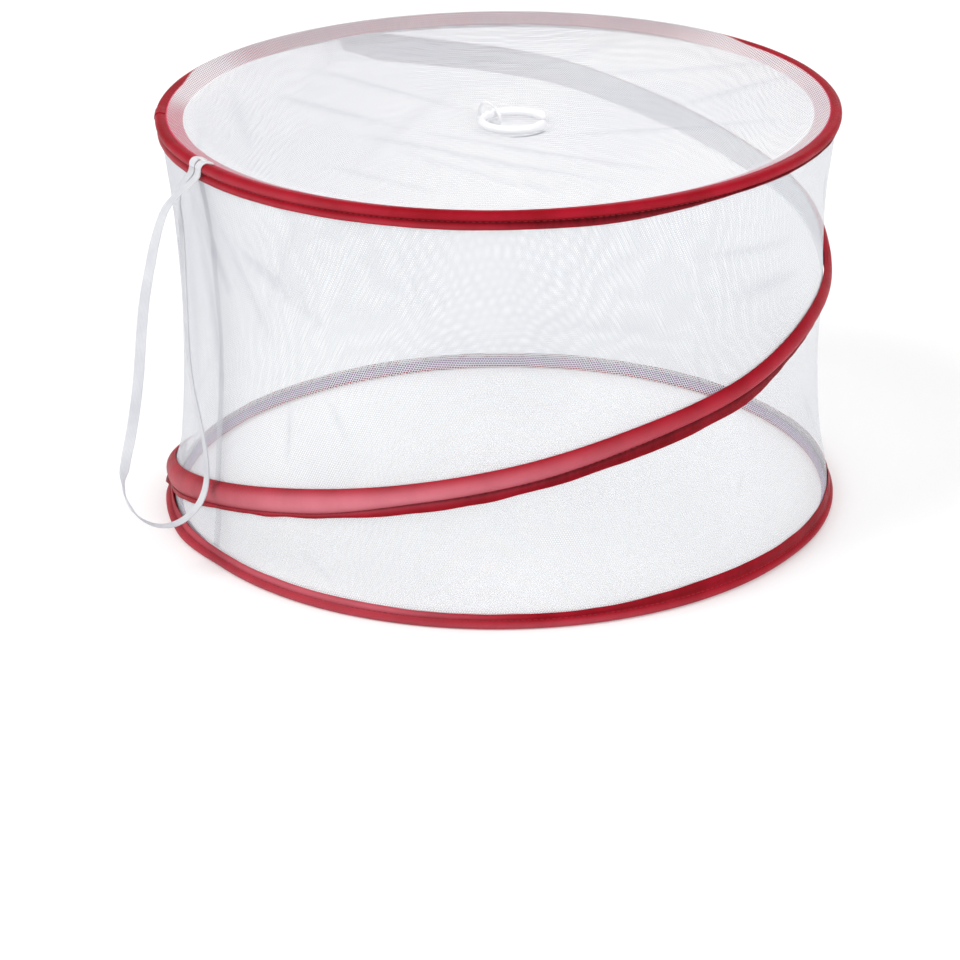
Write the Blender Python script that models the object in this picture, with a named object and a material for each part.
import math

import bmesh
import bpy
from mathutils import Matrix, Vector

# Driving sizes of the cover, in metres
cover_radius = 0.200
cover_height = 0.245
gap = 0.0003

# Spring wire, the sleeves on its ends, and the cloth
wire_radius = 0.0012
sleeve_wall = 0.0005
ferrule_length = 0.014
cap_length = 0.010
tape_thickness = 0.0006
net_thickness = 0.0004

# Bindings, as seen from outside
foot_outer_leg = 0.0095
foot_inner_leg = 0.0075
rim_outer_leg = 0.0105
rim_inner_leg = 0.013
rim_leg_slope = math.radians(18)
helix_bulge_height = 0.010
helix_flange_height = 0.007

# Course of the spiral: it climbs from the back left round the front and on to the back
helix_start = math.radians(168)
helix_sweep = math.radians(312)
helix_height_shares = (0.040, 0.094, 0.165, 0.235, 0.298, 0.362, 0.430, 0.484,
                       0.546, 0.580, 0.650, 0.698, 0.767, 0.841, 0.891, 0.941)
helix_inset = 0.0032              # the net draws the spiral in at the right
helix_inset_angle = math.radians(355)
helix_inset_reach = math.radians(45)
helix_bare_end = math.radians(6)
ring_butt_angle = math.radians(93)

# How the net hangs between the wires
wall_bow_share = 0.034
net_ramp_height = 0.004
net_edge_above_wire = 0.0032
hem_rise = math.radians(30)
hem_on_leg = 0.006
top_sag = 0.010
top_edge_inset = 0.003
top_row_shares = (0.92, 0.78, 0.60, 0.40, 0.20, 0.0)
top_sag_power = 3

# Seam of the wall panel, and the elastic strap that is sewn to the rim above it
strap_angle = math.radians(213)
seam_width = 0.006
seam_thickness = 0.0005
strap_width = 0.006
strap_thickness = 0.001
strap_tab_on_leg = 0.002
tack_size = (0.009, 0.0012, 0.0006)
strap_edge_share = 0.8

# Hook and its tether
hook_centre = (0.0089, -0.0174)
hook_ring_radius = 0.0185
hook_rod_radius = 0.0025
hook_bulb_radius = 0.0031
hook_bulb_length = 0.007
hook_opening = math.radians(46)
tether_angle = math.radians(130)
tether_radius = 0.0009
tether_outside = 0.013
tether_inside = 0.006
tether_height = 0.009
tether_bend = 0.002
knot_radius = 0.002

# Facets
ring_steps = 60
rows_per_span = 2
wire_bevel_steps = 1
cord_sides = 8
sleeve_sides = 8
arc_step = math.radians(30)
steep_arc_step = math.radians(45)
merge_distance = 0.000001

# Route of the elastic's loop, from one sewn end to the other: out from where it is
# sewn, down from there, and sideways along the rim, in metres; its legs cross below
# the rim
strap_route = (
    (0.0011, 0.0035, 0.0033),
    (0.0060, 0.0073, 0.0033),
    (0.0135, 0.0118, 0.0029),
    (0.0210, 0.0208, 0.0012),
    (0.0259, 0.0373, -0.0016),
    (0.0293, 0.0531, -0.0031),
    (0.0330, 0.0688, -0.0033),
    (0.0358, 0.0850, -0.0033),
    (0.0378, 0.1013, -0.0033),
    (0.0399, 0.1176, -0.0033),
    (0.0428, 0.1339, -0.0033),
    (0.0464, 0.1502, -0.0033),
    (0.0505, 0.1653, -0.0033),
    (0.0527, 0.1773, -0.0032),
    (0.0515, 0.1883, -0.0029),
    (0.0460, 0.1993, -0.0022),
    (0.0370, 0.2068, -0.0011),
    (0.0270, 0.2095, 0.0003),
    (0.0175, 0.2073, 0.0015),
    (0.0093, 0.2008, 0.0025),
    (0.0045, 0.1913, 0.0031),
    (0.0029, 0.1796, 0.0033),
    (0.0037, 0.1633, 0.0033),
    (0.0066, 0.1443, 0.0033),
    (0.0096, 0.1263, 0.0033),
    (0.0111, 0.1083, 0.0033),
    (0.0114, 0.0911, 0.0033),
    (0.0114, 0.0744, 0.0033),
    (0.0114, 0.0578, 0.0031),
    (0.0108, 0.0415, 0.0018),
    (0.0101, 0.0287, -0.0006),
    (0.0101, 0.0186, -0.0024),
    (0.0085, 0.0110, -0.0032),
    (0.0043, 0.0063, -0.0033),
    (0.0011, 0.0031, -0.0033),
)

# Arch of the tether over the hook's rod: shares of its inside or outside reach, and
# shares of its height
tether_arch_shares = ((1.0, 0.0), (0.97, 0.44), (0.81, 0.84), (0.54, 1.0), (0.23, 0.96),
                      (-0.25, 0.82), (-0.80, 0.51), (-1.0, 0.0))

# Sizes that follow
sleeve_bore = wire_radius + gap
sleeve_radius = sleeve_bore + sleeve_wall
tunnel_radius = sleeve_radius + gap
tunnel_outer = tunnel_radius + tape_thickness
tape_line_radius = tunnel_radius + tape_thickness / 2
wire_ring_radius = cover_radius - tunnel_outer
leg_offset = net_thickness / 2 + gap + tape_thickness / 2
foot_wire_height = tunnel_outer
rim_wire_height = cover_height - tunnel_outer
facet_angle = 2 * math.pi / ring_steps
facet_wire_radius = wire_ring_radius * math.cos(facet_angle / 2)
helix_height = helix_bulge_height + helix_flange_height
helix_wire_above_middle = (helix_height - helix_bulge_height) / 2
helix_net_radius = wire_ring_radius - tunnel_radius - net_thickness / 2
strap_lift = tape_thickness / 2 + gap + strap_thickness / 2
leg_down = Vector((-math.cos(rim_leg_slope), -math.sin(rim_leg_slope)))
leg_normal = Vector((-math.sin(rim_leg_slope), math.cos(rim_leg_slope)))


# Small helpers for points and meshes

def unit(angle):
    return Vector((math.cos(angle), math.sin(angle), 0))


def sideways(angle):
    return Vector((-math.sin(angle), math.cos(angle), 0))


def at(radius, angle, height):
    return unit(angle) * radius + Vector((0, 0, height))


def mix(a, b, share):
    return a + (b - a) * share


def offset_line(line, distance):
    # Mitred copy of an open line of (out, up) points, moved to its left by the distance
    turned = []
    for i, point in enumerate(line):
        normals = []
        for a, b in ((i - 1, i), (i, i + 1)):
            if 0 <= a and b < len(line):
                step = (line[b] - line[a]).normalized()
                normals.append(Vector((-step.y, step.x)))
        first, last = normals[0], normals[-1]
        turned.append(point + (first + last) * distance / (1 + first.dot(last)))
    return turned


def thicken(line, thickness):
    # Closed outline of a strip of even thickness along an open line
    return offset_line(line, thickness / 2) + offset_line(line, -thickness / 2)[::-1]


def arc_line(radius, start, end, step):
    # Corners of a polygon whose sides touch the circle of this radius
    count = round(abs(end - start) / step)
    corner = radius / math.cos(step / 2)
    angles = [mix(start, end, i / count) for i in range(count + 1)]
    return [Vector((math.cos(a), math.sin(a))) * corner for a in angles]


def between(values, share):
    # Catmull-Rom curve through evenly spaced values, at a share of the way along them
    place = share * (len(values) - 1)
    k = min(max(math.floor(place), 0), len(values) - 2)
    t = place - k
    padded = [values[0] * 2 - values[1], *values, values[-1] * 2 - values[-2]]
    a, b, c, d = padded[k:k + 4]
    return (b * 2 + (c - a) * t + (a * 2 - b * 5 + c * 4 - d) * t ** 2
            + (b * 3 - a - c * 3 + d) * t ** 3) / 2


def smooth_through(points, steps):
    # Curve through the points, with this many steps between neighbours
    count = (len(points) - 1) * steps
    return [between(points, i / count) for i in range(count + 1)]


def loft(sections, ring=False, outline=True):
    # Skins a row of sections, which may run in a ring; each is a closed outline, or
    # an open line whose two ends lie on the ring's axis
    bm = bmesh.new()
    rows = [[bm.verts.new(p) for p in section] for section in sections]
    pairs = list(zip(rows, rows[1:])) + ([(rows[-1], rows[0])] if ring else [])
    for one, two in pairs:
        for k in range(len(one) if outline else len(one) - 1):
            m = (k + 1) % len(one)
            bm.faces.new((one[k], one[m], two[m], two[k]))
    if not ring:
        bm.faces.new(rows[0])
        bm.faces.new(rows[-1])
    bmesh.ops.remove_doubles(bm, verts=bm.verts, dist=merge_distance)
    bmesh.ops.recalc_face_normals(bm, faces=bm.faces)
    return bm


def direction(points, i):
    return (points[min(i + 1, len(points) - 1)] - points[max(i - 1, 0)]).normalized()


def square_to(along, across):
    # Two unit vectors square to a path, the first as near as it can be to across
    out = (across - along * across.dot(along)).normalized()
    return out, along.cross(out)


def tube(points, radii, sides, across):
    # Round tube along a path, with the section's first axis kept near the across vector
    sections = []
    for i, point in enumerate(points):
        out, up = square_to(direction(points, i), across)
        turns = [2 * math.pi * k / sides for k in range(sides)]
        sections.append([point + (out * math.cos(t) + up * math.sin(t)) * radii[i]
                         for t in turns])
    return loft(sections)


def turned(profile, sides, outline=True):
    # Turns a (radius, along) profile about the Z axis
    turns = [2 * math.pi * k / sides for k in range(sides)]
    return loft([[at(r, t, z) for r, z in profile] for t in turns], True, outline)


def round_the_cover(profile, outline=True):
    # Turns a profile of (radius, height) points about the cover's axis
    return turned([tuple(p) for p in profile], ring_steps, outline)


# Objects, materials and placing

def make_material(name, colour, roughness, metallic=0.0):
    material = bpy.data.materials.new(name)
    material.use_nodes = True
    shader = material.node_tree.nodes["Principled BSDF"]
    shader.inputs["Base Color"].default_value = (*colour, 1)
    shader.inputs["Roughness"].default_value = roughness
    shader.inputs["Metallic"].default_value = metallic
    material.diffuse_color = (*colour, 1)
    return material


def add_object(name, data, material, parent=None, origin=Vector()):
    obj = bpy.data.objects.new(name, data)
    bpy.context.scene.collection.objects.link(obj)
    if material:
        data.materials.append(material)
    obj.parent = parent
    obj.location = origin - (parent.location if parent else Vector())
    return obj


def add_mesh(name, bm, material, parent=None, origin=Vector(), smooth=True):
    bmesh.ops.translate(bm, verts=bm.verts, vec=-origin)
    mesh = bpy.data.meshes.new(name)
    bm.to_mesh(mesh)
    bm.free()
    if smooth:
        mesh.shade_smooth()
        mesh.set_sharp_from_angle(angle=arc_step)
    return add_object(name, mesh, material, parent, origin)


def add_wire(name, points, material, parent=None, origin=Vector()):
    curve = bpy.data.curves.new(name, "CURVE")
    curve.dimensions = "3D"
    curve.bevel_depth = wire_radius
    curve.bevel_resolution = wire_bevel_steps
    curve.use_fill_caps = True
    spline = curve.splines.new("POLY")
    spline.points.add(len(points) - 1)
    for knot, point in zip(spline.points, points):
        knot.co = (*(point - origin), 1)
    return add_object(name, curve, material, parent, origin)


def add_axis(name, place):
    axis = bpy.data.objects.new(name, None)
    axis.location = place
    bpy.context.scene.collection.objects.link(axis)
    return axis


def along_to(bm, start, end):
    # Stands a turned piece, made on the Z axis, at start and points it to end
    turn = (end - start).to_track_quat("Z", "Y").to_matrix().to_4x4()
    bmesh.ops.transform(bm, matrix=Matrix.Translation(start) @ turn, verts=bm.verts)
    return bm


# Ring hoops: spring wire butted inside a crimped ferrule

def butt_chord(height):
    # Ends of the facet that holds the hoop's butt joint
    first = math.floor(ring_butt_angle / facet_angle) * facet_angle
    return [at(wire_ring_radius, a, height) for a in (first, first + facet_angle)], first


def ring_hoop(height):
    (start, end), first = butt_chord(height)
    middle, half_gap = (start + end) / 2, (end - start).normalized() * gap / 2
    round_it = [at(wire_ring_radius, first + facet_angle * (k + 1), height)
                for k in range(ring_steps)]
    return [middle + half_gap, *round_it, middle - half_gap]


def ferrule(height):
    (start, end), _ = butt_chord(height)
    middle, half = (start + end) / 2, (end - start).normalized() * ferrule_length / 2
    profile = [(sleeve_bore, 0), (sleeve_radius, 0),
               (sleeve_radius, ferrule_length), (sleeve_bore, ferrule_length)]
    return along_to(turned(profile, sleeve_sides), middle - half, middle + half)


def about_hoop(points, height):
    # Moves (out, up) points about a hoop's wire to (radius, height) on the cover
    return [Vector((wire_ring_radius, height)) + p for p in points]


# Foot binding: red tape folded up round the foot hoop

def foot_binding():
    outer_top = Vector((leg_offset, foot_outer_leg - foot_wire_height))
    inner_top = Vector((-leg_offset, foot_inner_leg - foot_wire_height))
    bend = arc_line(tape_line_radius, steep_arc_step / 2,
                    -math.pi - steep_arc_step / 2, steep_arc_step)
    line = about_hoop([outer_top, *bend, inner_top], foot_wire_height)
    return round_the_cover(thicken(line, tape_thickness))


# Rim binding: red tape over the rim hoop, its inner leg sloping in under the lid

def rim_line():
    outer_bottom = Vector((leg_offset, tunnel_outer - rim_outer_leg))
    bend = arc_line(tape_line_radius, -arc_step / 2,
                    math.pi / 2 + arc_step / 2, arc_step)
    return [outer_bottom, *bend, bend[-1] + leg_down * rim_inner_leg]


def rim_binding():
    return round_the_cover(thicken(about_hoop(rim_line(), rim_wire_height), tape_thickness))


# Course of the spiral binding

def helix_middle(angle):
    # Height of the spiral band's middle at an angle counted from the cover's +X axis
    return between(helix_height_shares, (angle - helix_start) / helix_sweep) * cover_height


def helix_inset_at(angle):
    # How far the spiral stands in from the hoops' radius
    away = abs((angle - helix_inset_angle + math.pi) % (2 * math.pi) - math.pi)
    share = min(away / helix_inset_reach, 1.0)
    return helix_inset * (1 - share * share * (3 - 2 * share))


def helix_stations(first_lap, last_lap):
    steps = round(helix_sweep / facet_angle)
    skip, stop = (round(lap / facet_angle) for lap in (first_lap, last_lap))
    return [helix_start + helix_sweep * i / steps for i in range(skip, steps + 1 - stop)]


def net_side_line():
    # Out from the wire's centre to the middle of tape that lies on the net
    return gap + tape_thickness / 2 - tunnel_radius


def lap_radius(height, leg):
    # Radius that clears a ring binding, at a height from its hoop's side of the cover
    marks = ((tunnel_outer + tunnel_radius, cover_radius + gap + tape_thickness / 2),
             (leg + net_ramp_height / 3, wire_ring_radius + leg_offset + tape_thickness + 2 * gap),
             (leg + gap + net_ramp_height, wire_ring_radius + net_side_line()))
    if height <= marks[0][0]:
        return marks[0][1]
    for (h1, r1), (h2, r2) in zip(marks, marks[1:]):
        if height <= h2:
            return mix(r1, r2, (height - h1) / (h2 - h1))
    return marks[-1][1]


def clear_of_rings(out, height):
    # Keeps the spiral's tape outside the ring bindings where it laps over them
    return max(out, lap_radius(height, foot_outer_leg),
               lap_radius(cover_height - height, rim_outer_leg))


def helix_section(angle):
    side = net_side_line()
    bend = arc_line(tape_line_radius, arc_step * 3 / 2, -arc_step * 3 / 2, arc_step)
    half = helix_bulge_height / 2
    flange = [Vector((side, -half - helix_flange_height * share)) for share in (0, 0.5, 1)]
    line = [Vector((side, half)), *bend, *flange]
    centre = Vector((wire_ring_radius, helix_middle(angle) + helix_wire_above_middle))
    line = [centre + p for p in line]
    line = [Vector((clear_of_rings(p.x, p.y), p.y)) for p in line]
    inset = helix_inset_at(angle)
    return [at(p.x - inset, angle, p.y) for p in thicken(line, tape_thickness)]


def helix_binding():
    return loft([helix_section(a) for a in helix_stations(0, 0)])


def helix_wire_points():
    return [at(wire_ring_radius - helix_inset_at(a), a, helix_middle(a) + helix_wire_above_middle)
            for a in helix_stations(helix_bare_end, 2 * helix_bare_end)]


def end_cap(tip, inward):
    # Closed sleeve on a wire's end, its bottom a gap beyond the tip
    profile = [(0, 0), (sleeve_radius, 0), (sleeve_radius, cap_length),
               (sleeve_bore, cap_length), (sleeve_bore, sleeve_wall), (0, sleeve_wall)]
    back = (tip - inward).normalized() * (gap + sleeve_wall)
    return along_to(turned(profile, sleeve_sides, False), tip + back, inward)


# Wall of net, drawn in between the wires

def spiral_presence(angle):
    # 1 where the spiral holds the wall out, falling to 0 past its ends
    past = (angle - helix_start) % (2 * math.pi) - helix_sweep
    nearest = min(past, 2 * math.pi - helix_sweep - past)
    return 1.0 if past <= 0 else max(0.0, 1 - nearest / (2 * helix_bare_end))


def spiral_height(angle):
    # The spiral's middle, and past its ends an even run from its top back to its foot
    past = (angle - helix_start) % (2 * math.pi) - helix_sweep
    if past <= 0:
        return helix_middle(helix_start + helix_sweep + past)
    share = past / (2 * math.pi - helix_sweep)
    top, foot = (helix_middle(helix_start + s) for s in (helix_sweep, 0))
    return mix(top, foot, share * share * (3 - 2 * share))


def wall_line(angle):
    # Net's middle line at one station, from its lower edge to the hem under the rim
    low = foot_outer_leg + gap
    high = cover_height - rim_outer_leg - gap
    middle, half = spiral_height(angle), helix_height / 2
    band = [min(max(h, low + net_ramp_height), high - net_ramp_height)
            for h in (middle - half, middle + half)]
    if band[1] - band[0] < half:
        band = [high - net_ramp_height - half, band[1]] if middle > (low + high) / 2 else \
            [band[0], low + net_ramp_height + half]
    held = spiral_presence(angle)
    pull = wire_ring_radius - helix_net_radius + helix_inset_at(angle)
    rows = rows_per_span + 1

    def inward(height, share, span):
        bow = wall_bow_share * span * 4 * share[0] * (1 - share[0])
        free = (height - low) / (high - low)
        slack = wall_bow_share * (high - low) * 4 * free * (1 - free)
        return mix(slack, bow + pull * share[1], held)

    points = []
    for i in range(rows):
        height = mix(low, band[0], i / rows)
        points.append((height, inward(height, (i / rows, i / rows), band[0] - low)))
    for height in band:
        points.append((height, inward(height, (0, 1), 0)))
    for i in range(1, rows + 1):
        height = mix(band[1], high, i / rows)
        points.append((height, inward(height, (i / rows, 1 - i / rows), high - band[1])))
    return [Vector((wire_ring_radius, foot_wire_height + net_edge_above_wire)),
            *(Vector((wire_ring_radius - pulled, h)) for h, pulled in points)]


def hem_line():
    # The wall's top edge, turned in under the hoop and on along the inner leg
    under_leg = rim_line()[-1].dot(leg_normal) - tape_thickness / 2 - gap - net_thickness / 2
    rise = Vector((-math.cos(hem_rise), math.sin(hem_rise)))
    start = Vector((0, -gap - (tunnel_radius + net_thickness / 2) / math.cos(hem_rise)))
    corner = start + rise * (under_leg - start.dot(leg_normal)) / rise.dot(leg_normal)
    return about_hoop([start, corner, corner + leg_down * hem_on_leg], rim_wire_height)


def wall_net():
    hem = hem_line()
    sections = []
    for i in range(ring_steps):
        outline = thicken(wall_line(facet_angle * i) + hem, net_thickness)
        sections.append([at(p.x, facet_angle * i, p.y) for p in outline])
    return loft(sections, ring=True)


def wall_seam():
    # Narrow strip inside the wall, along the closing seam of the panel
    before = math.floor(strap_angle / facet_angle) * facet_angle
    lines = [wall_line(a)[1:] for a in (before, before + facet_angle)]
    inside = net_thickness / 2 + gap + seam_thickness / 2
    facet = math.cos(facet_angle / 2)
    middle = [Vector(((a.x + b.x) / 2 * facet, (a.y + b.y) / 2)) for a, b in zip(*lines)]
    outline = [offset_line(middle, inside + d) for d in (-seam_thickness / 2, seam_thickness / 2)]
    side = sideways(strap_angle) * seam_width / 2
    sections = []
    for near, far in zip(*outline):
        corners = [at(p.x, strap_angle, p.y) for p in (near, far)]
        sections.append([corners[0] - side, corners[0] + side,
                         corners[1] + side, corners[1] - side])
    return loft(sections)


# Lid of net

def top_line():
    lift = tape_thickness / 2 + gap + net_thickness / 2
    *_, leg_start, leg_end = about_hoop(offset_line(rim_line(), -lift), rim_wire_height)
    middle = cover_height - top_sag
    rows = [Vector((leg_end.x * s, mix(middle, leg_end.y, s ** top_sag_power)))
            for s in top_row_shares]
    return [leg_start + leg_down * top_edge_inset, leg_end, *rows]


def top_surface_height(radius):
    # Height of the lid's upper face at a radius within the leg's inner edge
    line = top_line()
    for a, b in zip(line, line[1:]):
        if b.x <= radius <= a.x:
            return mix(b.y, a.y, (radius - b.x) / (a.x - b.x)) + net_thickness / 2
    return line[-1].y + net_thickness / 2


def top_net(material, parent, holes):
    line = top_line()
    upper, lower = offset_line(line, -net_thickness / 2), offset_line(line, net_thickness / 2)
    for row in (upper, lower):
        row[-1].x = 0
    net = add_mesh("top_net", round_the_cover(upper[::-1] + lower, False), material, parent)
    cut = net.modifiers.new("tether_holes", "BOOLEAN")
    cut.object = holes
    cut.solver = "EXACT"
    return net


# Strap: an elastic loop, both ends sewn side by side over the rim

def on_rim(point, side):
    # World place of an (out, up) point about the hoop, in the facet under the strap
    return at(facet_wire_radius + point.x, strap_angle, rim_wire_height + point.y) \
        + sideways(strap_angle) * side


def tab_line():
    # From level with the wire, up over the rim and a little way in along the leg
    line = offset_line(rim_line(), -strap_lift)[2:-1]
    return [Vector((line[0].x, 0)), *line, line[-1] + leg_down * strap_tab_on_leg]


def strap_sewn_ends():
    outline = thicken(tab_line(), strap_thickness)
    half = strap_width + gap
    return loft([[on_rim(p, side) for p in outline] for side in (-half, half)])


def strap_bar_tack():
    length, width, height = tack_size
    above = tape_line_radius + strap_lift + strap_thickness / 2 + gap + height / 2
    bm = bmesh.new()
    bmesh.ops.create_cube(bm, size=1)
    bmesh.ops.scale(bm, vec=(width, length, height), verts=bm.verts)
    bmesh.ops.bevel(bm, geom=bm.edges, offset=height / 4, segments=1, affect="EDGES")
    turn = Matrix.Rotation(strap_angle, 4, "Z")
    place = Matrix.Translation(on_rim(Vector((0, above)), 0))
    bmesh.ops.transform(bm, matrix=place @ turn, verts=bm.verts)
    return bm


def strap_pivot():
    below = tab_line()[0] - Vector((0, strap_thickness / 2 + gap))
    return on_rim(below, 0)


def strap_path():
    side = sideways(strap_angle)
    route = [(0, 0, strap_route[0][-1]), *strap_route, (0, 0, strap_route[-1][-1])]
    return [strap_pivot() + at(out, strap_angle, -down) + side * along
            for out, down, along in route]


def elastic_strap():
    # The free loop; the two blunt ends are rounded about the pivot so they can swing
    path, side = strap_path(), sideways(strap_angle)
    half, thick = strap_width / 2, strap_thickness / 2
    edge = half * strap_edge_share
    shape = ((-half, 0), (-edge, thick), (edge, thick), (half, 0), (edge, -thick), (-edge, -thick))
    sections = []
    for i, point in enumerate(path):
        wide, face = square_to(direction(path, i), side)
        sections.append([point + wide * a + face * b for a, b in shape])
    tips = []
    for i, beyond in ((0, -1), (-1, 1)):
        ahead = direction(path, i % len(path)) * beyond * thick / 2
        tips.append([mix(path[i], p, strap_edge_share) + ahead for p in sections[i]])
    return loft([tips[0], *sections, tips[1]])


# Hook, lying on the lid with its opening to the right

def hook_height():
    reach = Vector(hook_centre).length + hook_ring_radius + hook_bulb_radius
    return top_surface_height(reach) + gap + hook_bulb_radius


def hook_point(angle):
    return Vector((*hook_centre, hook_height())) + unit(angle) * hook_ring_radius


def hanging_hook():
    steps = round((2 * math.pi - hook_opening) / arc_step * 3)
    angles = [hook_opening / 2 + (2 * math.pi - hook_opening) * i / steps
              for i in range(steps + 1)]
    points = [hook_point(a) for a in angles]
    radii = []
    for a in angles:
        from_end = min(a - angles[0], angles[-1] - a) * hook_ring_radius
        swell = math.sin(math.pi * min(from_end / hook_bulb_length, 1))
        radii.append(mix(hook_rod_radius, hook_bulb_radius, swell))
    return tube(points, radii, cord_sides, Vector((0, 0, 1)))


# Tether: a cord arch over the hook's rod, through the net and into a knot below

def tether_frame():
    # Point on the lid under the rod, and the way out from the hook's centre there
    rod = hook_point(tether_angle)
    return Vector((rod.x, rod.y, top_surface_height(Vector((rod.x, rod.y)).length))), \
        unit(tether_angle)


def tether_feet():
    base, out = tether_frame()
    return base + out * tether_outside, base - out * tether_inside


def knot_centre():
    first, last = tether_feet()
    under = Vector((0, 0, -net_thickness - gap - knot_radius))
    return (first + last) / 2 + under


def hook_tether():
    base, out = tether_frame()
    arch = []
    for reach_share, height_share in tether_arch_shares:
        reach = tether_outside if reach_share > 0 else tether_inside
        arch.append(base + out * reach * reach_share + Vector((0, 0, tether_height * height_share)))
    arch = smooth_through(arch, 2)
    ends = []
    for foot in tether_feet():
        knot = knot_centre()
        to_knot = Vector((knot.x - foot.x, knot.y - foot.y, 0)).normalized()
        corner = Vector((foot.x, foot.y, knot.z))
        bend = [corner + Vector((0, 0, tether_bend)),
                corner + (to_knot + Vector((0, 0, 1))) * tether_bend * (1 - math.sqrt(0.5)),
                corner + to_knot * tether_bend]
        ends.append([*bend, knot - to_knot * (knot_radius + gap)])
    path = ends[0][::-1] + arch + ends[1]
    side = Vector((-out.y, out.x, 0))
    return tube(path, [tether_radius] * len(path), cord_sides, side)


def tether_knot():
    bm = bmesh.new()
    bmesh.ops.create_icosphere(bm, subdivisions=2, radius=knot_radius)
    bmesh.ops.translate(bm, verts=bm.verts, vec=knot_centre())
    return bm


def tether_hole_cutter(parent):
    radius, depth = tether_radius + gap, tether_height
    bm = bmesh.new()
    for foot in tether_feet():
        bmesh.ops.create_cone(bm, cap_ends=True, segments=cord_sides, radius1=radius, radius2=radius,
                              depth=depth, matrix=Matrix.Translation(foot))
    cutter = add_mesh("tether_hole_cutter", bm, None, parent, smooth=False)
    cutter.hide_render = True
    cutter.display_type = "WIRE"
    return cutter


def build_base(red, net, steel, plastic):
    add_wire("foot_ring_wire", ring_hoop(foot_wire_height), steel)
    add_mesh("foot_ring_ferrule", ferrule(foot_wire_height), steel)
    add_mesh("foot_binding", foot_binding(), red)
    add_mesh("wall_net", wall_net(), net)
    add_mesh("wall_seam", wall_seam(), net)
    add_mesh("helix_binding", helix_binding(), red)
    points = helix_wire_points()
    add_wire("helix_wire", points, steel)
    add_mesh("helix_lower_cap", end_cap(points[0], points[1]), plastic)
    add_mesh("helix_upper_cap", end_cap(points[-1], points[-2]), plastic)


def build_top(red, net, steel, white):
    # Everything that comes down when the cover is pressed flat
    lift = add_axis("collapse_axis", Vector((0, 0, rim_wire_height)))
    centre = lift.location.copy()
    add_wire("rim_ring_wire", ring_hoop(rim_wire_height), steel, lift, centre)
    add_mesh("rim_ring_ferrule", ferrule(rim_wire_height), steel, lift, centre)
    add_mesh("rim_binding", rim_binding(), red, lift, centre)
    top_net(net, lift, tether_hole_cutter(lift))
    add_mesh("strap_sewn_ends", strap_sewn_ends(), white, lift, centre)
    add_mesh("strap_bar_tack", strap_bar_tack(), white, lift, centre)
    add_mesh("hook_tether", hook_tether(), white, lift, centre)
    add_mesh("tether_knot", tether_knot(), white, lift, centre)
    return lift


def build_hangers(lift, elastic, plastic):
    # The strap swings about its sewn end, and the hook lifts about its tether
    add_mesh("elastic_strap", elastic_strap(), elastic, lift, strap_pivot())
    add_mesh("hanging_hook", hanging_hook(), plastic, lift, hook_point(tether_angle))


def main():
    for obj in list(bpy.data.objects):
        bpy.data.objects.remove(obj, do_unlink=True)
    red = make_material("red_satin_tape", (0.42, 0.012, 0.022), 0.45)
    net = make_material("white_net", (0.86, 0.86, 0.88), 0.6)
    steel = make_material("spring_steel", (0.56, 0.57, 0.58), 0.35, 1.0)
    plastic = make_material("white_plastic", (0.88, 0.88, 0.87), 0.35)
    elastic = make_material("white_elastic", (0.84, 0.84, 0.85), 0.75)
    thread = make_material("white_thread", (0.85, 0.85, 0.85), 0.8)
    build_base(red, net, steel, plastic)
    lift = build_top(red, net, steel, thread)
    build_hangers(lift, elastic, plastic)


main()
